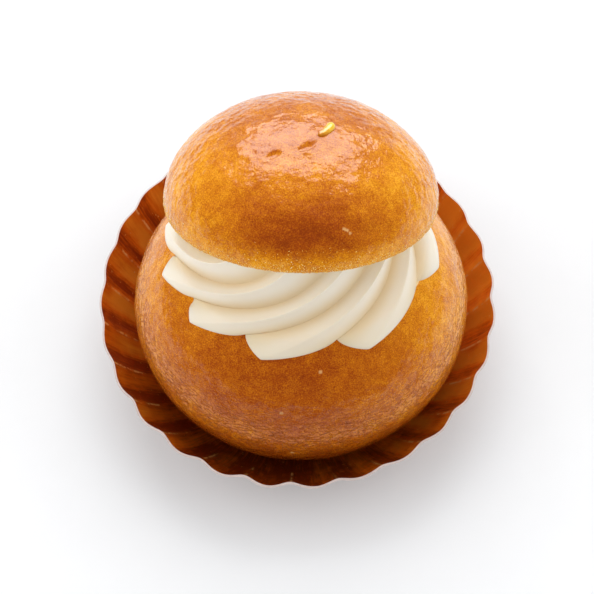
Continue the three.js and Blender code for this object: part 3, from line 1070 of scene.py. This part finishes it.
from_edge = np.linalg.norm(cap_points - cap_points[cut_count], axis=-1)
bun_lid = dress_half(
    "bun_lid",
    cap_mesh,
    cap_points,
    cut_rings=slice(0, cut_count),
    edge_ring=cut_count,
    ragged=CAP_RAGGEDNESS,
    browning=cap_browning_and_shade(cap_points[:, :, 2]),
    wrinkled=cap_wrinkles(cap_points),
    crumbly=np.exp(-from_edge / CRUMBLY_REACH),
    fleck=near_spots(cap_points, CAP_FLECKS, CAP_FLECK_REACH),
)

# %% [markdown]
# ## The cream rosette
# The cream was piped in one turn through a star nozzle: nine lobes, wide at the foot, that lean
# round as they climb. That is a rule too, so a grid is bent into it by Geometry Nodes: across
# runs the angle round the rosette, along runs its height. Each lobe has a steep face and a long
# slope. Two cuts then fit it between its neighbours, one along the lid's cut and one by the base,
# and small scraps that the cuts leave over are taken away.

# %% Mix the cream
# The cream runs from warm, darker tones in its valleys and low at the front, which are painted shade,
# to pale crests.
CREAM_SHADE_TONES = ((0.80, 0.64, 0.41), (0.90, 0.83, 0.71))
CREAM_CLOUD = 12 * MM
CREAM_CLOUD_SHARE = 0.3
CREAM_GRAIN = 0.5 * MM
CREAM_GRAIN_DEPTH = 0.015 * MM
CREAM_GLOSS = {"Roughness": 0.5, "Specular_IOR_Level": 0.35}
CREAM_DEPTH = {
    "Subsurface_Weight": 0.15,
    "Subsurface_Radius": (1.0, 0.8, 0.5),
    "Subsurface_Scale": 1.2 * MM,
}


def cream_finish():
    finish = Finish("whipped cream", **CREAM_GLOSS, **CREAM_DEPTH)
    place = finish.place()
    # The ridge value sets the painted shade of the cream.
    tone = finish.attribute("ridge") + CREAM_CLOUD_SHARE * finish.swing(place, CREAM_CLOUD, detail=2)
    relief = finish.bump(finish.noise(place, CREAM_GRAIN, detail=2), CREAM_GRAIN_DEPTH)
    return finish.wear(Base_Color=finish.ramp(tone, CREAM_SHADE_TONES), Normal=relief)


whipped_cream = cream_finish()
print("mixed", whipped_cream.name)

# %% Bend a grid into the rosette
CREAM_PLACE = (-0.4 * MM, 4.4 * MM)
CREAM_FOOT_RADIUS = 28.5 * MM
CREAM_NECK_RADIUS = 20.0 * MM
CREAM_REAR_TRIM = 4.5 * MM
CREAM_FLARE = 5.0 * MM
CREAM_TWIST = math.radians(105)
CREAM_TWIST_RISE = 9.0 * MM
TWIST_UNEVENNESS = 0.25
TWIST_ANGLE = math.radians(-20)
CREAM_FOOT_DROP = 5.0 * MM
CREAM_RISE = 24.0 * MM
CREAM_LOBES = 9
LOBE_COLUMNS = 52
CREAM_RINGS = 110
LOBE_DEPTH = 4.0 * MM
LOBE_UPPER_DEPTH = 2.4 * MM
LOBE_LIFT = 2.0 * MM
LOBE_SKEW = 0.25
LOBE_FOOT_POWER = 0.58
LOBE_CREST_POWER = 1.5
LOBE_CROWDING = 0.36
LOBE_CROWD_ANGLE = math.radians(24)
LOBE_START = math.radians(-15)
LOBE_SOFTNESS = 0.15
VALLEY_SOFTNESS = 0.03
CREAM_DROOP = 0.9
CREAM_FRONT_SHADE = 0.5
CREAM_OVERLAP = 0.2 * MM
RIDGE_LEVELS = (0, 0.8)
CUTTER = 0.2
SCRAP_POINTS = 400.0


def droop(shape, mesh, share):
    """Lowers the cream by a share of the way that the crust falls below the slice."""
    x, y, z = shape.parts(shape.position())
    aside, ahead = x - BUN_OFFSET[0], y - BUN_OFFSET[1]
    reach = (aside * aside + ahead * ahead) / BUN_RADIUS**2
    climb = shape.math("SQRT", shape.math("MAXIMUM", 0, 1 - reach))
    crust_height = BUN_EQUATOR_HEIGHT + BUN_HALF_HEIGHT * climb
    fall = SLICE_HEIGHT - ahead * math.tan(SLICE_TILT) - crust_height
    return shape.place(mesh, shape.vector(x, y, z - share * shape.math("MAXIMUM", 0, fall)))


def cream_shape(cream, base):
    shape = Shape("cream rosette")
    lobes = shape.size("Lobes", CREAM_LOBES)
    columns = shape.size("Columns", CREAM_LOBES * LOBE_COLUMNS + 1)
    rings = shape.size("Rings", CREAM_RINGS + 3)
    foot = shape.size("Foot Radius", CREAM_FOOT_RADIUS)
    neck = shape.size("Neck Radius", CREAM_NECK_RADIUS)
    depth = shape.size("Lobe Depth", LOBE_DEPTH)
    upper_depth = shape.size("Upper Lobe Depth", LOBE_UPPER_DEPTH)
    lift = shape.size("Lobe Lift", LOBE_LIFT)
    twist = shape.size("Twist", CREAM_TWIST)
    rise = shape.size("Rise", CREAM_RISE)
    drop = shape.size("Foot Drop", CREAM_FOOT_DROP)
    cream = shape.size("Cream", cream)
    base = shape.size("Base", base)

    grid = {"Size X": 1, "Size Y": 1, "Vertices X": columns, "Vertices Y": rings}
    flat = shape.field("GeometryNodeMeshGrid", grid)
    x, y, _ = shape.parts(shape.position())
    around = x + 0.5
    step = (y + 0.5) * (CREAM_RINGS + 2)
    inside = shape.math("COMPARE", step, CREAM_RINGS / 2 + 1, CREAM_RINGS / 2 + 0.5)
    height = shape.between(step, 1, CREAM_RINGS + 1) * (rise + drop) - drop
    above = shape.math("MAXIMUM", 0, height)
    flare = shape.math("EXPONENT", above / -CREAM_FLARE)

    share = shape.math("FRACT", around * lobes)
    steep, slope = share / LOBE_SKEW, (1 - share) / (1 - LOBE_SKEW)
    climb = shape.math("SMOOTH_MIN", steep, slope, LOBE_SOFTNESS) + VALLEY_SOFTNESS
    stand = climb ** shape.lerp(flare, LOBE_CREST_POWER, LOBE_FOOT_POWER) - 0.5
    angle = around * math.tau
    leaning = angle + LOBE_CROWDING * shape.sin(angle - LOBE_CROWD_ANGLE) + LOBE_START
    slack = 1 - TWIST_UNEVENNESS * (0.5 - 0.5 * shape.cos(angle - TWIST_ANGLE))
    leaning = leaning + twist * slack * (1 - shape.math("EXPONENT", above / -CREAM_TWIST_RISE))
    rear = shape.math("MAXIMUM", 0, shape.sin(leaning)) ** 2
    depth = shape.lerp(flare * flare, upper_depth, depth)
    radius = shape.lerp(flare, neck, foot - CREAM_REAR_TRIM * rear) + depth * stand
    radius = radius * inside
    height = height + lift * (1 - flare) * stand * inside
    bent = shape.vector(radius * shape.cos(leaning), radius * shape.sin(leaning), height)
    # Painted shade: darker in the valleys and low on the front lobes.
    front = shape.math("MAXIMUM", 0, -1 * shape.sin(leaning))
    ridge = shape.smooth(climb, *RIDGE_LEVELS) * (1 - CREAM_FRONT_SHADE * flare * front)
    flat = shape.marked(flat, "ridge", ridge)
    rosette = shape.weld(shape.place(flat, bent), WELD)

    seat_height = SLICE_HEIGHT - CREAM_PLACE[1] * math.tan(SLICE_TILT)
    seat = Vector(BUN_OFFSET) + Vector((*CREAM_PLACE, seat_height))
    rosette = shape.moved(rosette, seat, (-SLICE_TILT, 0, 0))
    rosette = droop(shape, rosette, shape.size("Droop", CREAM_DROOP))
    block = shape.field("GeometryNodeMeshCube", {"Size": (CUTTER,) * 3})
    under_lid = CAP_FRAME @ Vector((0, 0, -CAP_SKIRT + CREAM_OVERLAP))
    block = shape.moved(shape.moved(block, (0, 0, CUTTER / 2)), under_lid, (-CAP_TILT, 0, 0))
    bun = shape.field("GeometryNodeObjectInfo", {"Object": base}, output="Geometry")
    cut = shape.node("GeometryNodeMeshBoolean", operation="DIFFERENCE", solver="MANIFOLD")
    shape.feed(cut.inputs["Mesh 1"], rosette)
    shape.feed(cut.inputs["Mesh 2"], block)
    shape.feed(cut.inputs["Mesh 2"], bun)
    fitted = Field(shape, cut.outputs["Mesh"])
    island = shape.field("GeometryNodeInputMeshIsland")
    count = shape.node("GeometryNodeAccumulateField", {"Value": 1.0, "Group ID": island})
    scrap = shape.math("LESS_THAN", Field(shape, count.outputs["Total"]), SCRAP_POINTS)
    whole = shape.field("GeometryNodeDeleteGeometry", {"Geometry": fitted, "Selection": scrap})
    return shape.serve(shape.finished(shape.realized(whole), cream))


cream_rosette = make("cream_rosette", cream_shape(whipped_cream, bun_lower))
smooth_and_tell(cream_rosette)

# %% [markdown]
# ## The sliver of zest
# One short strip of candied zest lies on the dome, half sunk in the glaze. It is a small tube
# with blunt ends, thicker at one end, and slightly bowed. A bevelled curve could be such a tube,
# but a skin over rings gives the blunt ends without a further step.

# %% Lay the zest on the dome
ZEST_LENGTH = 5.4 * MM
ZEST_RADIUS = 0.9 * MM
ZEST_SPOT = np.array([5, -6.9]) * MM
ZEST_TURN = math.radians(57)
ZEST_RINGS = 26
ZEST_SIDES = 20
ZEST_END = 0.02
ZEST_TAPER = (0.85, 1.15)
ZEST_WIDE = 1.05
ZEST_TALL = 0.8
ZEST_BOW = 0.35 * MM
ZEST_TWIST = 0.6
ZEST_TONES = ((0.60, 0.20, 0.005), (0.84, 0.43, 0.006), (0.90, 0.62, 0.03))
ZEST_FADE = (-0.1, 1.2)
ZEST_FIBRE = 0.9 * MM
ZEST_FIBRE_DEPTH = 0.12 * MM


def zest_finish():
    finish = Finish("candied zest", Roughness=0.35, Coat_Weight=0.6)
    fibres = finish.swing(finish.place(), ZEST_FIBRE, detail=3)
    tone = finish.lerp(finish.attribute("along"), *ZEST_FADE) + fibres
    relief = finish.bump(fibres, ZEST_FIBRE_DEPTH)
    return finish.wear(Base_Color=finish.ramp(tone, ZEST_TONES), Normal=relief)


def dome_height(radius):
    latitude = math.acos((radius / CAP_RADIUS) ** (1 / CAP_PEAK))
    return CAP_RISE * math.sin(latitude) ** CAP_PEAK


def zest_rings():
    """Rings along the sliver, lying along +Y with its middle at the origin."""
    rings = []
    for share in np.linspace(ZEST_END, 1 - ZEST_END, ZEST_RINGS):
        blunt = (1 - abs(2 * share - 1) ** 4) ** 0.5
        across = ZEST_RADIUS * blunt * np.interp(share, (0, 1), ZEST_TAPER)
        bow = ZEST_BOW * math.sin(math.pi * share)
        turn = angles[:: COLUMNS // ZEST_SIDES] + ZEST_TWIST * share
        wide, tall = ZEST_WIDE * across * np.cos(turn), ZEST_TALL * across * np.sin(turn)
        along = ZEST_LENGTH * (share - 0.5)
        rings.append(np.stack([wide + bow, np.full_like(wide, along), tall], axis=-1))
    return np.array(rings)


def zest_frame():
    """The sliver's own axes: across, along and out of the dome."""
    seat = Vector((*ZEST_SPOT, dome_height(np.hypot(*ZEST_SPOT))))
    out = Vector((seat.x / CAP_RADIUS**2, seat.y / CAP_RADIUS**2, seat.z / CAP_RISE**2)).normalized()
    along = Vector((math.cos(ZEST_TURN), math.sin(ZEST_TURN), 0))
    along = (along - out * along.dot(out)).normalized()
    axes = Matrix((along.cross(out), along, out)).transposed()
    return CAP_FRAME @ Matrix.Translation(seat) @ axes.to_4x4()


zest_points = placed(zest_rings()[:, ::-1], zest_frame())
ends = [placed(np.array([0, end * ZEST_LENGTH / 2, 0]), zest_frame()) for end in (-1, 1)]
zest_mesh = skin("zest_sliver", zest_points, *ends)
paint(zest_mesh, "along", np.linspace(0, 1, len(zest_points)).repeat(zest_points.shape[1]), 0, 1)
zest_mesh.materials.append(zest_finish())
zest_sliver = add_object("zest_sliver", zest_mesh)
smooth_and_tell(zest_sliver)

# %% [markdown]
# ## Crumbs at the cut
# Where the knife went through, small toasted crumbs cling to the edge of the lid. There are many,
# all alike but for size and turn, so Geometry Nodes scatter a few-faced grain over the lid,
# thickest at the cut edge, with a fixed seed.

# %% Scatter the crumbs
CRUMB_SEED = 7
CRUMB_DENSITY = 2.2e7
CRUMB_SMALLEST = 0.04 * MM
CRUMB_LARGEST = 0.15 * MM
CRUMB_STRETCH = ((0.7, 0.7, 0.7), (1.4, 1.2, 1.0))
GRAIN_TONES = ((0.80, 0.40, 0.03), (0.95, 0.66, 0.15), (0.98, 0.82, 0.42))
GRAIN_PATCH = 0.4 * MM
GRAIN_LEVELS = (0.3, 0.7)


def grain_finish():
    finish = Finish("toasted crumbs", Roughness=0.6, Specular_IOR_Level=0.1)
    patches = finish.noise(finish.place(), GRAIN_PATCH, detail=1)
    tone = finish.between(patches, *GRAIN_LEVELS)
    return finish.wear(Base_Color=finish.ramp(tone, GRAIN_TONES))


def crumb_shape(lid, crumb_material):
    shape = Shape("edge crumbs")
    density = shape.size("Density", CRUMB_DENSITY)
    seed = shape.size("Seed", CRUMB_SEED)
    smallest = shape.size("Smallest", CRUMB_SMALLEST)
    largest = shape.size("Largest", CRUMB_LARGEST)
    lid = shape.size("Lid", lid)
    crumb_material = shape.size("Crumb", crumb_material)
    surface = shape.field("GeometryNodeObjectInfo", {"Object": lid}, output="Geometry")
    thick = shape.attribute("crumbly")
    scatter = {"Mesh": surface, "Density": density * thick, "Seed": seed}
    points = shape.field("GeometryNodeDistributePointsOnFaces", scatter)
    grain = shape.field("GeometryNodeMeshUVSphere", {"Radius": 1.0, "Segments": 4, "Rings": 2})
    size = {2: smallest, 3: largest, "Seed": seed}
    size = shape.field("FunctionNodeRandomValue", size, output=1)
    turn = {0: (0, 0, 0), 1: (math.tau,) * 3, "Seed": seed}
    turn = shape.field("FunctionNodeRandomValue", turn, data_type="FLOAT_VECTOR")
    stretch = {0: CRUMB_STRETCH[0], 1: CRUMB_STRETCH[1], "Seed": seed}
    stretch = shape.field("FunctionNodeRandomValue", stretch, data_type="FLOAT_VECTOR")
    scale = shape.field("ShaderNodeVectorMath", {0: stretch, "Scale": size}, operation="SCALE")
    heap = {"Points": points, "Instance": grain, "Rotation": turn, "Scale": scale}
    heap = shape.realized(shape.field("GeometryNodeInstanceOnPoints", heap))
    return shape.serve(shape.finished(heap, crumb_material))


cut_crumbs = make("cut_crumbs", crumb_shape(bun_lid, grain_finish()))
smooth_and_tell(cut_crumbs)

# %% [markdown]
# ## Hand the pieces to the frame
# Every piece rides on the one body of the model. Where there is one, it also says which solid it
# stands for, and which of the record's finishes it takes.

# %% Ride and replace
PIECES = (
    (foil_case, "fluted_case", "case_foil"),
    (bun_lower, "bun_base", "glazed_crust"),
    (cream_rosette, "cream", "whipped_cream"),
    (bun_lid, "bun_top", "glazed_crust"),
    (zest_sliver, "bun_top", None),
    (cut_crumbs, None, None),
)
for piece, node, slot in PIECES:
    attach(piece, "root")
    if node:
        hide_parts(node)
